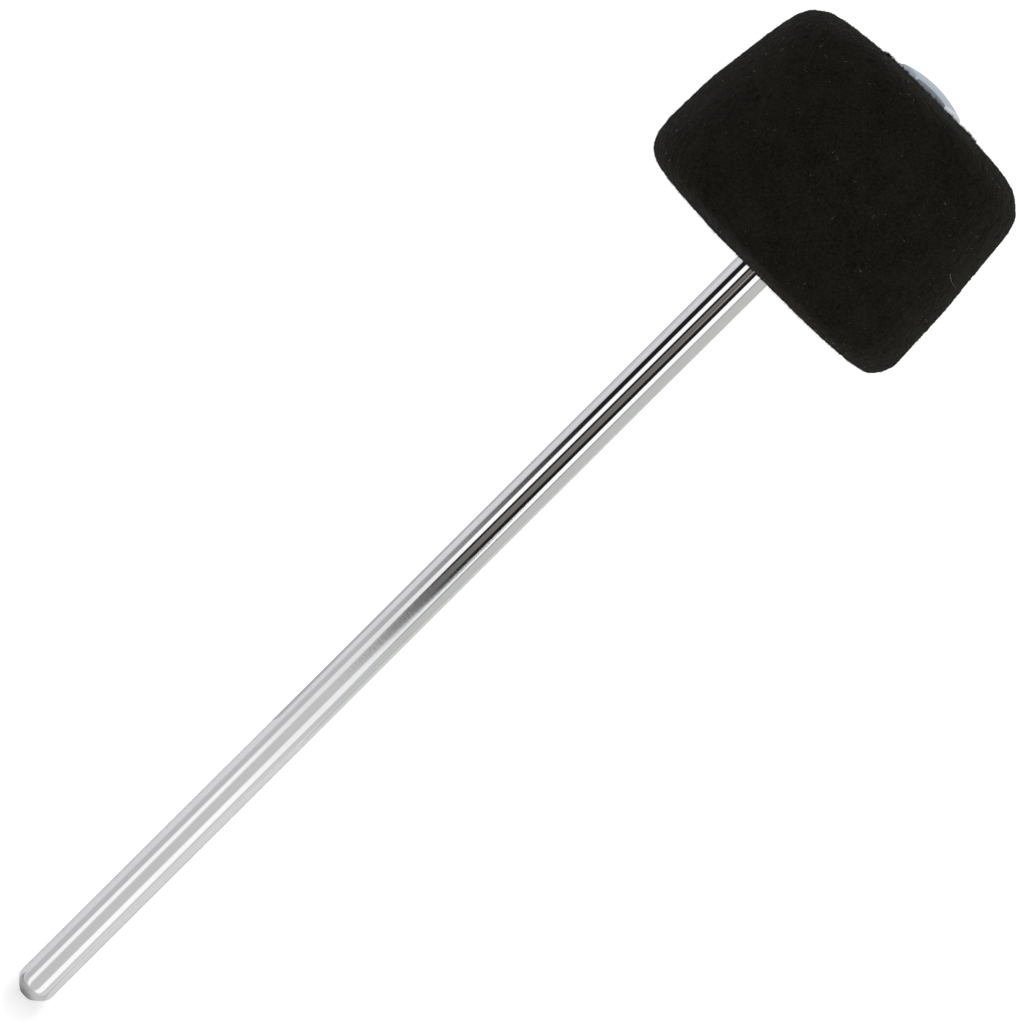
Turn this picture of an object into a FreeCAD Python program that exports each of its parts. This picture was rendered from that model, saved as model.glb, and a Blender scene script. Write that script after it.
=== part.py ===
"""Bass drum beater: a chromed rod that carries a turned felt head between two washers.

The beater lies on its side: +X runs along the rod from its free tip to the head, and +Z is up.
The origin is on the rod's axis, where the bare rod meets the underside of the head.
The head sits on a thin nut and is clamped by a cap nut, both screwed on the rod's upper end.
Each piece is turned about its own upright axis, and its Placement lays that axis along +X.
Every length is in millimetres.
"""
import FreeCAD, Part
import os
import Sketcher

# Driving dimensions

SIZES = {
    # Rod: free length below the head, bullet tip, and the thread on its upper end
    "exposed_length": "199",
    "shaft_diameter": "8",
    "tip_length": "3.1",
    "tip_flat_diameter": "2.6",
    "thread_depth": "0.675",
    "thread_engagement": "7",
    "thread_chamfer": "0.8",
    # Felt head: a tapered puck, its shallow cone of an underside, its crown and its trimmed corners
    "head_height": "48",
    "head_lower_diameter": "64.4",
    "head_middle_diameter": "63",
    "head_upper_diameter": "58.8",
    "head_underside_rise": "0.65",
    "head_crown": "1.1",
    "lower_corner_width": "6.7",
    "lower_corner_height": "6.8",
    "upper_corner_width": "9.4",
    "upper_corner_height": "6.7",
    "recess_lip": "0.8",
    # Hexagon nuts: across flats for both, heights, and how deep they lie in the felt
    "nut_flats": "14",
    "low_nut_height": "4.5",
    "low_nut_sink": "1.5",
    "cap_nut_height": "11",
    "cap_nut_proud": "2.2",
    "cap_bore_depth": "7.8",
    "crown_diameter": "13.4",
    "crown_height": "1.2",
    "bore_lead_in": "0.6",
    # Collar under the cap nut, whose turned-out lip keeps the lock washer on the nut
    "collar_wall": "1.55",
    "collar_length": "1.25",
    "collar_lip_reach": "0.35",
    "collar_lip_height": "0.35",
    # Captive lock washer: a flat ring with teeth bent down around it
    "lock_height": "1.6",
    "lock_thickness": "0.7",
    "lock_ring_width": "0.85",
    "lock_tooth_reach": "1.5",
    "lock_tooth_foot": "0.4",
    "lock_tooth_gap": "1.4",
    # Flat washers, the same above and below the felt
    "washer_thickness": "1.6",
    "washer_margin": "1.4",
    "washer_chamfer": "0.4",
    # Split spring washer above the thin nut
    "spring_width": "3.3",
    "spring_thickness": "2",
    "spring_gap": "1.2",
    # Clearances on the radius, and the one between the felt and the flat face of each washer
    "thread_play": "0.1",
    "washer_play": "0.2",
    "felt_play": "0.15",
    "recess_play": "0.3",
    "lock_play": "0.2",
    "felt_seat_play": "0.1",
    # How far a cut runs past the solid that it cuts
    "overrun": "1",
}

# Counts, angles in degrees, and shares of the sizes above

LOCK_TEETH = 12
HEXAGON_SIDES = 6
CORNER_FLATS = 3
QUARTER_TURN = 90
CAP_CORNER_ANGLE = 26
NUT_CORNER_ANGLE = 30
SPLIT_ANGLE = 20
NUT_FACE_SHARE = 0.95
TIP_BULGE_ACROSS_SHARE = 0.584
TIP_BULGE_ALONG_SHARE = 0.436

doc = FreeCAD.newDocument("bass_drum_beater")
sheet = doc.addObject("Spreadsheet::Sheet", "dims")
for row, (alias, value) in enumerate(SIZES.items(), start=1):
    sheet.set(f"A{row}", alias)
    sheet.set(f"B{row}", value)
    sheet.setAlias(f"B{row}", alias)
doc.recompute()

# Radii that several pieces share

shaft_radius = "dims.shaft_diameter / 2"
core_radius = f"({shaft_radius} - dims.thread_depth)"
bore_radius = f"({core_radius} + dims.thread_play)"
nut_corner = f"(dims.nut_flats / 2 / cos(180 / {HEXAGON_SIDES}))"
nut_face = f"(dims.nut_flats / 2 * {NUT_FACE_SHARE})"
washer_hole = f"({shaft_radius} + dims.washer_play)"
washer_rim = f"({nut_corner} + dims.washer_margin)"
recess_radius = f"({washer_rim} + dims.recess_play)"
collar_radius = f"({bore_radius} + dims.collar_wall)"
lock_hole = f"({collar_radius} + dims.lock_play)"

# Heights above the underside of the head, from the thin nut up to the cap nut

low_nut_rise = "dims.low_nut_sink"
spring_rise = f"{low_nut_rise} + dims.low_nut_height"
low_washer_rise = f"{spring_rise} + dims.spring_thickness"
low_floor_rise = f"{low_washer_rise} + dims.washer_thickness"
cap_nut_rise = "dims.head_height + dims.cap_nut_proud - dims.cap_nut_height"
lock_rise = f"{cap_nut_rise} - dims.lock_height"
top_floor_rise = f"{lock_rise} - dims.washer_thickness"

# A third of a turn about the cube's diagonal takes a piece's upright axis to +X, and its own Y axis up

LAID = FreeCAD.Rotation(FreeCAD.Vector(1, 1, 1), 120)


def new_body(name, rise="0"):
    """Start a piece in its own frame, whose upright axis lies along +X, and move it to its seat."""
    body = doc.addObject("PartDesign::Body", name)
    body.Label = name
    body.Placement = FreeCAD.Placement(FreeCAD.Vector(), LAID)
    body.setExpression("Placement.Base.x", rise)
    return body


def new_sketch(body, name, plane):
    sketch = body.newObject("Sketcher::SketchObject", name)
    support = next(item for item in body.Origin.OriginFeatures if item.Role == plane)
    sketch.AttachmentSupport = (support, [""])
    sketch.MapMode = "FlatFace"
    return sketch


def plot(sketch, across, along):
    """Add a guide point that two expressions hold at its distance from the sketch's origin."""
    spot = sketch.addGeometry(Part.Point(FreeCAD.Vector()), True)
    for direction, distance in (("DistanceX", across), ("DistanceY", along)):
        rule = sketch.addConstraint(Sketcher.Constraint(direction, -1, 1, spot, 1, 0.0))
        sketch.setExpression(f"Constraints[{rule}]", distance)
    return spot


def crown_middle(start, end):
    """Give a point halfway along an arc from an apex on the upright axis to a rim, centred on that axis."""
    apex, rim = sorted((start, end), key=lambda point: abs(point.x))
    drop = apex.y - rim.y
    radius = (rim.x * rim.x + drop * drop) / (2 * drop)
    centre = FreeCAD.Vector(0, apex.y - radius)
    outward = (apex - centre) + (rim - centre)
    return centre + outward.normalize() * abs(radius)


def close_outline(sketch, corners, bends=None):
    """Join corners, given as (across, along) expressions, into a closed outline.

    A bend, keyed by the corner that it leaves, is a third point that the arc passes through,
    or "crown" for an arc whose centre lies on the upright axis.
    """
    bends = bends or {}
    spots = [plot(sketch, *corner) for corner in corners]
    guides = {place: plot(sketch, *bend) for place, bend in bends.items() if bend != "crown"}
    sketch.recompute()
    for place, spot in enumerate(spots):
        next_spot = spots[(place + 1) % len(spots)]
        start = sketch.getPoint(spot, 1)
        end = sketch.getPoint(next_spot, 1)
        if place in guides:
            shape = Part.Arc(start, sketch.getPoint(guides[place], 1), end)
        elif place in bends:
            shape = Part.Arc(start, crown_middle(start, end), end)
        else:
            shape = Part.LineSegment(start, end)
        edge = sketch.addGeometry(shape)
        gaps = [sketch.getPoint(edge, tip).distanceToPoint(start) for tip in (1, 2)]
        first, last = (1, 2) if gaps[0] < gaps[1] else (2, 1)
        sketch.addConstraint(Sketcher.Constraint("Coincident", edge, first, spot, 1))
        sketch.addConstraint(Sketcher.Constraint("Coincident", edge, last, next_spot, 1))
        if place in guides:
            sketch.addConstraint(Sketcher.Constraint("PointOnObject", guides[place], 1, edge))
        elif place in bends:
            sketch.addConstraint(Sketcher.Constraint("PointOnObject", edge, 3, -2))


def turn(body, kind, name, corners, bends=None):
    """Turn an outline of (radius, height) corners round the upright axis, to add or to cut."""
    sketch = new_sketch(body, f"{name}_sketch", "XZ_Plane")
    close_outline(sketch, corners, bends)
    feature = body.newObject(kind, name)
    feature.Profile = sketch
    feature.ReferenceAxis = (sketch, ["V_Axis"])
    feature.Angle = 360
    doc.recompute()
    return feature


def trimmed_corner(crown_edge, side_edge):
    """Give the points of a corner cut in flats on a quarter ellipse, from an end's edge to the side's."""
    (crown_across, crown_along), (side_across, side_along) = crown_edge, side_edge
    points = []
    for flat in range(CORNER_FLATS + 1):
        angle = QUARTER_TURN * flat / CORNER_FLATS
        across = f"{crown_across} + ({side_across} - ({crown_across})) * sin({angle})"
        along = f"{side_along} + ({crown_along} - ({side_along})) * cos({angle})"
        points.append((across, along))
    return points


def end_rings(feature):
    """Name a feature's lowest and highest whole circular edges, the mouths of a bore through it."""
    heights = []
    for place, edge in enumerate(feature.Shape.Edges, start=1):
        if not edge.Degenerated and isinstance(edge.Curve, Part.Circle) and edge.isClosed():
            heights.append((edge.Curve.Center.z, f"Edge{place}"))
    return [min(heights)[1], max(heights)[1]]


def hexagon(body, name, height):
    """Pad a hexagon from the XY plane up, with a flat across each end of its own Y axis."""
    sketch = new_sketch(body, f"{name}_sketch", "XY_Plane")
    step = 360 // HEXAGON_SIDES
    corners = []
    for side in range(HEXAGON_SIDES):
        corners.append((f"{nut_corner} * cos({side * step})", f"{nut_corner} * sin({side * step})"))
    close_outline(sketch, corners)
    pad = body.newObject("PartDesign::Pad", name)
    pad.Profile = sketch
    pad.setExpression("Length", height)
    doc.recompute()
    return pad


def corner_cut(body, name, face, height, angle, upward):
    """Turn the corners off one end of a hexagon, from a round face of the given radius outwards."""
    outside = f"({nut_corner} + dims.overrun)"
    fall = f"({outside} - {face}) * tan({angle})"
    sign = "-" if upward else "+"
    corners = [(face, height), (outside, height), (outside, f"{height} {sign} {fall}")]
    return turn(body, "PartDesign::Groove", name, corners)


# Rod: bullet tip, plain length, and a thread core with the thread's ridges left off


def make_shaft():
    body = new_body("shaft")
    tip_radius = "dims.tip_flat_diameter / 2"
    tip = "0 - dims.exposed_length"
    top = f"{cap_nut_rise} + dims.thread_engagement"
    corners = [
        ("0", tip),
        (tip_radius, tip),
        (shaft_radius, f"{tip} + dims.tip_length"),
        (shaft_radius, "0"),
        (core_radius, low_nut_rise),
        (core_radius, f"{top} - dims.thread_chamfer"),
        (f"{core_radius} - dims.thread_chamfer", top),
        ("0", top),
    ]
    bulge_across = f"{tip_radius} + ({shaft_radius} - {tip_radius}) * {TIP_BULGE_ACROSS_SHARE}"
    bulge_along = f"{tip} + dims.tip_length * {TIP_BULGE_ALONG_SHARE}"
    turn(body, "PartDesign::Revolution", "rod", corners, {1: (bulge_across, bulge_along)})
    return body


# Felt head: turned puck, bored through and counterbored for the washers and nuts at both ends


def make_felt_head():
    body = new_body("felt_head")
    lower = "dims.head_lower_diameter / 2"
    upper = "dims.head_upper_diameter / 2"
    top_edge = "dims.head_height - dims.head_crown"
    foot = (f"{lower} - dims.lower_corner_width", "dims.head_underside_rise")
    lower_side = (lower, "dims.head_underside_rise + dims.lower_corner_height")
    upper_side = (upper, f"{top_edge} - dims.upper_corner_height")
    brow = (f"{upper} - dims.upper_corner_width", top_edge)
    lower_corner = trimmed_corner(foot, lower_side)
    upper_corner = trimmed_corner(brow, upper_side)[::-1]
    corners = [("0", "0")] + lower_corner + upper_corner + [("0", "dims.head_height")]
    belly = ("dims.head_middle_diameter / 2", f"({lower_side[1]} + {upper_side[1]}) / 2")
    bends = {len(lower_corner): belly, len(corners) - 2: "crown"}
    turn(body, "PartDesign::Revolution", "puck", corners, bends)
    bore = f"({shaft_radius} + dims.felt_play)"
    below = "0 - dims.overrun"
    above = "dims.head_height + dims.overrun"
    low_floor = f"{low_floor_rise} + dims.felt_seat_play"
    top_floor = f"{top_floor_rise} - dims.felt_seat_play"
    steps = [
        ("0", below),
        (recess_radius, below),
        (recess_radius, low_floor),
        (bore, low_floor),
        (bore, top_floor),
        (recess_radius, top_floor),
        (recess_radius, above),
        ("0", above),
    ]
    bored = turn(body, "PartDesign::Groove", "bore_and_recesses", steps)
    lips = body.newObject("PartDesign::Chamfer", "recess_lips")
    lips.Base = (bored, end_rings(bored))
    lips.setExpression("Size", "dims.recess_lip")
    doc.recompute()
    return body


# Washers


def make_flat_washer(name, rise):
    body = new_body(name, rise)
    corners = [
        (washer_hole, "0"),
        (washer_rim, "0"),
        (washer_rim, "dims.washer_thickness - dims.washer_chamfer"),
        (f"{washer_rim} - dims.washer_chamfer", "dims.washer_thickness"),
        (washer_hole, "dims.washer_thickness"),
    ]
    turn(body, "PartDesign::Revolution", f"{name}_disc", corners)
    return body


def make_spring_washer():
    body = new_body("lower_spring_washer", spring_rise)
    rim = f"({washer_hole} + dims.spring_width)"
    corners = [
        (washer_hole, "0"),
        (rim, "0"),
        (rim, "dims.spring_thickness"),
        (washer_hole, "dims.spring_thickness"),
    ]
    turn(body, "PartDesign::Revolution", "spring_ring", corners)
    sketch = new_sketch(body, "split_sketch", "XZ_Plane")
    half_gap = "dims.spring_gap / 2"
    lean = f"(dims.spring_thickness + 2 * dims.overrun) / 2 * tan({SPLIT_ANGLE})"
    below = "0 - dims.overrun"
    above = "dims.spring_thickness + dims.overrun"
    close_outline(sketch, [
        (f"0 - {lean} - {half_gap}", below),
        (f"{half_gap} - {lean}", below),
        (f"{half_gap} + {lean}", above),
        (f"{lean} - {half_gap}", above),
    ])
    split = body.newObject("PartDesign::Pocket", "split")
    split.Profile = sketch
    split.setExpression("Length", f"{rim} + dims.overrun")
    split.Reversed = True
    doc.recompute()
    return body


def make_lock_washer():
    body = new_body("captive_lock_washer", lock_rise)
    ring_edge = f"({lock_hole} + dims.lock_ring_width)"
    tooth_tip = f"({ring_edge} + dims.lock_tooth_reach)"
    under = "dims.lock_height - dims.lock_thickness"
    corners = [
        (lock_hole, under),
        (ring_edge, under),
        (f"{tooth_tip} - dims.lock_tooth_foot", "0"),
        (tooth_tip, "0"),
        (tooth_tip, "dims.lock_thickness"),
        (ring_edge, "dims.lock_height"),
        (lock_hole, "dims.lock_height"),
    ]
    turn(body, "PartDesign::Revolution", "lock_ring", corners)
    sketch = new_sketch(body, "gap_sketch", "XY_Plane")
    half_gap = "dims.lock_tooth_gap / 2"
    outside = f"{tooth_tip} + dims.overrun"
    close_outline(sketch, [
        (ring_edge, f"0 - {half_gap}"),
        (outside, f"0 - {half_gap}"),
        (outside, half_gap),
        (ring_edge, half_gap),
    ])
    gap = body.newObject("PartDesign::Pocket", "tooth_gap")
    gap.Profile = sketch
    gap.Type = "ThroughAll"
    gap.Midplane = True
    doc.recompute()
    pattern = body.newObject("PartDesign::PolarPattern", "tooth_gaps")
    pattern.Originals = [gap]
    pattern.Axis = (sketch, ["N_Axis"])
    pattern.Angle = 360
    pattern.Occurrences = LOCK_TEETH
    body.Tip = pattern
    doc.recompute()
    return body


# Nuts


def make_low_nut():
    body = new_body("lower_nut", low_nut_rise)
    height = "dims.low_nut_height"
    hexagon(body, "low_hexagon", height)
    corner_cut(body, "low_nut_upper_corners", nut_face, height, NUT_CORNER_ANGLE, True)
    corner_cut(body, "low_nut_lower_corners", nut_face, "0", NUT_CORNER_ANGLE, False)
    mouth = f"{bore_radius} + dims.bore_lead_in"
    steps = [
        ("0", "0"),
        (mouth, "0"),
        (bore_radius, "dims.bore_lead_in"),
        (bore_radius, f"{height} - dims.bore_lead_in"),
        (mouth, height),
        ("0", height),
    ]
    turn(body, "PartDesign::Groove", "low_nut_bore", steps)
    return body


def make_cap_nut():
    body = new_body("cap_nut", cap_nut_rise)
    height = "dims.cap_nut_height"
    hexagon(body, "cap_hexagon", height)
    crown_radius = "dims.crown_diameter / 2"
    crown_edge = f"({height} - dims.crown_height)"
    outside = f"({nut_corner} + dims.overrun)"
    above = f"{height} + dims.overrun"
    corners = [
        ("0", height),
        (crown_radius, crown_edge),
        (outside, f"{crown_edge} - ({outside} - {crown_radius}) * tan({CAP_CORNER_ANGLE})"),
        (outside, above),
        ("0", above),
    ]
    turn(body, "PartDesign::Groove", "crown", corners, {0: "crown"})
    corner_cut(body, "cap_nut_lower_corners", nut_face, "0", NUT_CORNER_ANGLE, False)
    collar_end = "0 - dims.collar_length"
    lip = f"{collar_radius} + dims.collar_lip_reach"
    collar = [
        (bore_radius, "dims.overrun"),
        (bore_radius, collar_end),
        (lip, collar_end),
        (lip, f"{collar_end} + dims.collar_lip_height"),
        (collar_radius, f"{collar_end} + 2 * dims.collar_lip_height"),
        (collar_radius, "dims.overrun"),
    ]
    turn(body, "PartDesign::Revolution", "collar", collar)
    mouth = f"{bore_radius} + dims.bore_lead_in"
    bore = [
        ("0", collar_end),
        (mouth, collar_end),
        (bore_radius, f"{collar_end} + dims.bore_lead_in"),
        (bore_radius, "dims.cap_bore_depth"),
        ("0", "dims.cap_bore_depth"),
    ]
    turn(body, "PartDesign::Groove", "blind_bore", bore)
    return body


def check_cuts(body):
    """Stop if a groove, pocket or pattern of cuts took nothing from the solid before it."""
    before = None
    for feature in body.Group:
        if not feature.isDerivedFrom("PartDesign::Feature"):
            continue
        cuts = feature.TypeId in ("PartDesign::Groove", "PartDesign::Pocket", "PartDesign::PolarPattern")
        if cuts and feature.Shape.Volume >= before:
            raise RuntimeError(f"{feature.Name} cuts nothing")
        before = feature.Shape.Volume


PIECES = [
    make_shaft(),
    make_low_nut(),
    make_spring_washer(),
    make_flat_washer("lower_washer", low_washer_rise),
    make_felt_head(),
    make_flat_washer("upper_washer", top_floor_rise),
    make_lock_washer(),
    make_cap_nut(),
]
doc.recompute()

for item in doc.Objects:
    if "Invalid" in item.State or "Error" in item.State:
        raise RuntimeError(f"{item.Name} failed: {item.State}")
for piece in PIECES:
    if piece.Shape.isNull() or not piece.Shape.isValid() or len(piece.Shape.Solids) != 1:
        raise RuntimeError(f"{piece.Label} is not one valid solid")
    check_cuts(piece)

os.makedirs("parts", exist_ok=True)
for piece in PIECES:
    piece.Shape.exportStep(f"parts/{piece.Label}.step")
    box = piece.Shape.optimalBoundingBox()
    span = f"x {box.XMin:.2f} to {box.XMax:.2f}, {box.YLength:.2f} by {box.ZLength:.2f} across"
    print(f"{piece.Label}: {piece.Shape.Volume:.1f} mm3, {span}")
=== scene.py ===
# %% [markdown]
# # A bass drum beater, dressed step by step
# The beater is a chromed rod with a black felt head, which a pedal swings against a bass drum.
# The engineering model gives every piece its size and place, and this lesson gives each one its look.
# We load that model first.

# %% Load the engineering model
import math
import bpy
import numpy as np
from mathutils import Matrix, Vector, noise


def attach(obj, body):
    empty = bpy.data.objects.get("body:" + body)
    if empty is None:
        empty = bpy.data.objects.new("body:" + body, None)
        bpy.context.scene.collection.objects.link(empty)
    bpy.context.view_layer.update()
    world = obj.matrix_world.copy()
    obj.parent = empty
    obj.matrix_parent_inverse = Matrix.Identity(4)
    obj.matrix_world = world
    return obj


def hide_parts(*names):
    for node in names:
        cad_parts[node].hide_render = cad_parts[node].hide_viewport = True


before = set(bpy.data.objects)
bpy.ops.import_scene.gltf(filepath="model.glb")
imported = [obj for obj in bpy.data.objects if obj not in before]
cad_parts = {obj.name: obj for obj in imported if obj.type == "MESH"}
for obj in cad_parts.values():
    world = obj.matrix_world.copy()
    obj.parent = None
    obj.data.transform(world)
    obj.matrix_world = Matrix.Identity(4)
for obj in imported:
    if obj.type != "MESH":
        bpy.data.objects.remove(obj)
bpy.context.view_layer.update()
MM = 0.001
print("nodes:", sorted(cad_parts))

# %% [markdown]
# ## The camera
# The picture was taken from above with a long lens, and the rod crosses it from corner to corner.
# The camera stands a little towards the head, so that it looks straight across the felt's underside.
# We aim it at the middle of the beater and lean it by three degrees.
# Then we turn it by an eighth turn and a hair more.

# %% Camera above the beater
LENS_MM = 273.2
SENSOR_MM = 36.0
CAMERA_DISTANCE = 1.5
CLIP_END = 20.0
AIM = Vector((-0.06577, -0.00026, 0.0))
LEAN = math.radians(3.0)
EXTRA_TURN = 0.00209

camera_data = bpy.data.cameras.new("camera")
camera_data.lens = LENS_MM
camera_data.sensor_width = SENSOR_MM
camera_data.clip_end = CLIP_END
camera = bpy.data.objects.new("camera", camera_data)
back = Vector((math.sin(LEAN), 0, math.cos(LEAN)))
rod_way = Vector((math.cos(LEAN), 0, -math.sin(LEAN)))
side_way = Vector((0, -1, 0))
to_head = (rod_way - EXTRA_TURN * side_way).normalized()
to_side = (side_way + EXTRA_TURN * rod_way).normalized()
right = (to_head + to_side).normalized()
up = (to_head - to_side).normalized()
turn = Matrix((right, up, back)).transposed()
camera.matrix_world = Matrix.Translation(AIM + CAMERA_DISTANCE * back) @ turn.to_4x4()
bpy.context.scene.collection.objects.link(camera)
bpy.context.scene.camera = camera
bpy.context.scene.view_settings.view_transform = "Standard"
print("camera at", [round(value, 4) for value in camera.matrix_world.translation])

# %% [markdown]
# ## Helpers for nodes
# Every finish here is a small graph of nodes.
# Written out one link at a time, such a graph is long and hard to read.
# The first helper below adds a node, sets its options and fills its inputs in one call.
# A value is typed into an input, and the output of another node is linked to it.
# The others build on it: arithmetic, mixing, stretching a range, and asking where a point lies.

# %% Node helpers
def put(tree, kind, sockets=None, **options):
    """Add a node, set its options and fill its inputs with values or with the outputs of other nodes."""
    node = tree.nodes.new(kind)
    for option, value in options.items():
        setattr(node, option, value)
    for name, value in (sockets or {}).items():
        if isinstance(value, bpy.types.NodeSocket):
            tree.links.new(value, node.inputs[name])
        else:
            node.inputs[name].default_value = value
    return node


def maths(tree, operation, *values):
    """One step of arithmetic with values or with the outputs of other nodes."""
    return put(tree, "ShaderNodeMath", dict(enumerate(values)), operation=operation).outputs[0]


def blend_colours(tree, share, first, second):
    """Mix two colours by a share from 0 to 1."""
    return put(tree, "ShaderNodeMix", {0: share, 6: first, 7: second}, data_type="RGBA").outputs[2]


def rescale(tree, value, low, high, new_low=0.0, new_high=1.0):
    """Stretch a value from one range to another and cut it off at the ends."""
    node = put(tree, "ShaderNodeMapRange", {0: value, 1: low, 2: high, 3: new_low, 4: new_high})
    return node.outputs[0]


def share_of(tree, mask, share):
    """A mask from 0 to 1, weakened to this share."""
    return rescale(tree, mask, 0.0, 1.0, 0.0, share)


def object_point(tree):
    """Where a point lies on its object."""
    return tree.nodes.new("ShaderNodeTexCoord").outputs["Object"]


def object_place(tree):
    """The same point as three numbers, X, Y and Z."""
    return put(tree, "ShaderNodeSeparateXYZ", {0: object_point(tree)}).outputs


def empty_material(name):
    """A material without nodes, and its tree."""
    material = bpy.data.materials.new(name)
    material.use_nodes = True
    material.node_tree.nodes.clear()
    return material, material.node_tree


print("node helpers ready")

# %% [markdown]
# ## The table
# The beater lies on a white table: the end of the rod and the rim of the felt touch it.
# The felt is much thicker than the rod, so seen from the beater the table is tilted by about eight degrees.
# We find the line under both, lay a disc along it, and let the camera see it nearly white.
# Past the tip the disc is lifted less, so that the tip's shadow shows there as it does in the picture.
# From below the disc lets the camera through, so that the underside of the beater can be looked at too.

# %% Table disc under the beater
TABLE_RADIUS = 0.5
TABLE_SIDES = 64
ROD = 4.0
ROD_RADIUS = ROD * MM
TIP_WALL_X = -195.9 * MM
RIM_X = 8.5 * MM
RIM_RADIUS = 32.35 * MM

slope = (RIM_RADIUS - ROD_RADIUS) / (RIM_X - TIP_WALL_X)
tilt = math.atan(slope)
middle = (TIP_WALL_X + RIM_X) / 2
middle_height = -(ROD_RADIUS + RIM_RADIUS) / 2
ring = [(TABLE_RADIUS * math.cos(2 * math.pi * i / TABLE_SIDES),
         TABLE_RADIUS * math.sin(2 * math.pi * i / TABLE_SIDES), 0.0) for i in range(TABLE_SIDES)]
table_mesh = bpy.data.meshes.new("table")
table_mesh.from_pydata(ring, [], [list(range(TABLE_SIDES))])
table = bpy.data.objects.new("table", table_mesh)
table.matrix_world = Matrix.Translation((middle, 0, middle_height)) @ Matrix.Rotation(tilt, 4, "Y")
bpy.context.scene.collection.objects.link(table)
print("table tilted by", round(math.degrees(tilt), 2), "degrees")

# %% White table finish
TABLE_WHITE = (0.86, 0.86, 0.86, 1.0)
TIP_LIFT = 0.18
TABLE_LIFT = 0.62
TIP_SPOT = (TIP_WALL_X - 0.0055, -0.0005, -ROD_RADIUS)
SHADOW_RADIUS = (0.003, 0.009)

table_finish, tree = empty_material("white_table")
path = tree.nodes.new("ShaderNodeLightPath")
geometry = tree.nodes.new("ShaderNodeNewGeometry")
from_tip = put(tree, "ShaderNodeVectorMath", {0: geometry.outputs["Position"], 1: TIP_SPOT},
               operation="DISTANCE")
lift = rescale(tree, from_tip.outputs["Value"], *SHADOW_RADIUS, TIP_LIFT, TABLE_LIFT)
lift = maths(tree, "MULTIPLY", lift, path.outputs["Is Camera Ray"])
matt = put(tree, "ShaderNodeBsdfDiffuse", {"Color": TABLE_WHITE})
glow = put(tree, "ShaderNodeEmission", {"Strength": lift})
lit = put(tree, "ShaderNodeAddShader", {0: matt.outputs[0], 1: glow.outputs[0]})
clear = tree.nodes.new("ShaderNodeBsdfTransparent")
sides = put(tree, "ShaderNodeMixShader",
            {0: geometry.outputs["Backfacing"], 1: lit.outputs[0], 2: clear.outputs[0]})
put(tree, "ShaderNodeOutputMaterial", {"Surface": sides.outputs[0]})
table_mesh.materials.append(table_finish)
print("table finish made")

# %% [markdown]
# ## Light round the beater
# Polished chrome has almost no colour of its own: what we see on the rod is the studio round it.
# Product photographers put a tent of white cloth over such a piece, with a softbox along each side.
# The two softboxes are the rod's two white lines.
# The dark camera in the tent's opening is the rod's dark middle.
# We build the tent as a real thing in the studio that only metal sees, so reflections follow the viewer.
# Sheets on the table are seen by metal alone as well, by the edges and the nose of the rod, which look down
# at it.
# One is a grey card in the studio. Most are painted shade: the table in the shadow of the rod, the head and
# the tip, with the tip's contact shadow darkest. One is a painted reflection of the lit table beside the tip,
# and one darkens the cap nut's reflection past the head.

# %% Pale room
ROOM_FILL = 0.62
ROOM_IN_METAL = 0.66
SIDE_REACH = 0.6
LAVENDER = (0.93, 0.92, 1.0, 1.0)
GREENISH = (0.96, 0.97, 0.93, 1.0)
WHITE = (1.0, 1.0, 1.0, 1.0)

world = bpy.data.worlds.new("pale_room")
bpy.context.scene.world = world
world.use_nodes = True
tree = world.node_tree
tree.nodes.clear()
path = tree.nodes.new("ShaderNodeLightPath")
coords = tree.nodes.new("ShaderNodeTexCoord")
sideways = put(tree, "ShaderNodeSeparateXYZ", {0: coords.outputs["Generated"]}).outputs["Y"]
side_share = rescale(tree, sideways, -SIDE_REACH, SIDE_REACH)
room_colour = blend_colours(tree, side_share, GREENISH, LAVENDER)
colour = blend_colours(tree, path.outputs["Is Camera Ray"], room_colour, WHITE)
metal = rescale(tree, path.outputs["Is Glossy Ray"], 0.0, 1.0, ROOM_FILL, ROOM_IN_METAL)
strength = maths(tree, "MAXIMUM", metal, path.outputs["Is Camera Ray"])
room = put(tree, "ShaderNodeBackground", {"Color": colour, "Strength": strength})
put(tree, "ShaderNodeOutputWorld", {"Surface": room.outputs[0]})
print("room strength", ROOM_FILL)

# %% Softboxes along the rod
STUDIO_X = 0.2
BOX_DISTANCE = 0.7
BOX_LENGTH = 1.5
BOX_RADIANCE = 1.15
LEFT_BOX = (-53, -25)
RIGHT_BOX = (27, 61)


def around_rod(angle, distance, x=STUDIO_X):
    """A point at this angle from straight up, turned towards -Y."""
    lean = math.radians(angle)
    return Vector((x, -distance * math.sin(lean), distance * math.cos(lean)))


def softbox(name, start_angle, end_angle, radiance):
    """A long lamp that fills these angles as seen from the rod. Metal sees the tent in its place."""
    angle = (start_angle + end_angle) / 2
    width = 2 * BOX_DISTANCE * math.tan(math.radians(abs(end_angle - start_angle) / 2))
    data = bpy.data.lights.new(name, "AREA")
    data.shape = "RECTANGLE"
    data.size = BOX_LENGTH
    data.size_y = width
    data.energy = radiance * math.pi * BOX_LENGTH * width
    lamp = bpy.data.objects.new(name, data)
    lamp.matrix_world = Matrix.Translation(around_rod(angle, BOX_DISTANCE)) @ Matrix.Rotation(
        math.radians(angle), 4, "X")
    lamp.visible_camera = False
    lamp.visible_glossy = False
    bpy.context.scene.collection.objects.link(lamp)
    print(name, "width", round(width, 3), "m, energy", round(data.energy, 2), "W")


softbox("left_softbox", *LEFT_BOX, BOX_RADIANCE)
softbox("right_softbox", *RIGHT_BOX, BOX_RADIANCE)

# %% Light tent
TENT_RADIUS = 0.6
TENT_REACH = 100
TENT_STEPS = 60
TENT_ENDS = (-2.4, 0.9)


def show_in_metal_only(thing):
    """Hide a piece of the studio from all light paths but reflections."""
    for ray in ("camera", "diffuse", "transmission", "volume_scatter", "shadow"):
        setattr(thing, "visible_" + ray, False)


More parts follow.
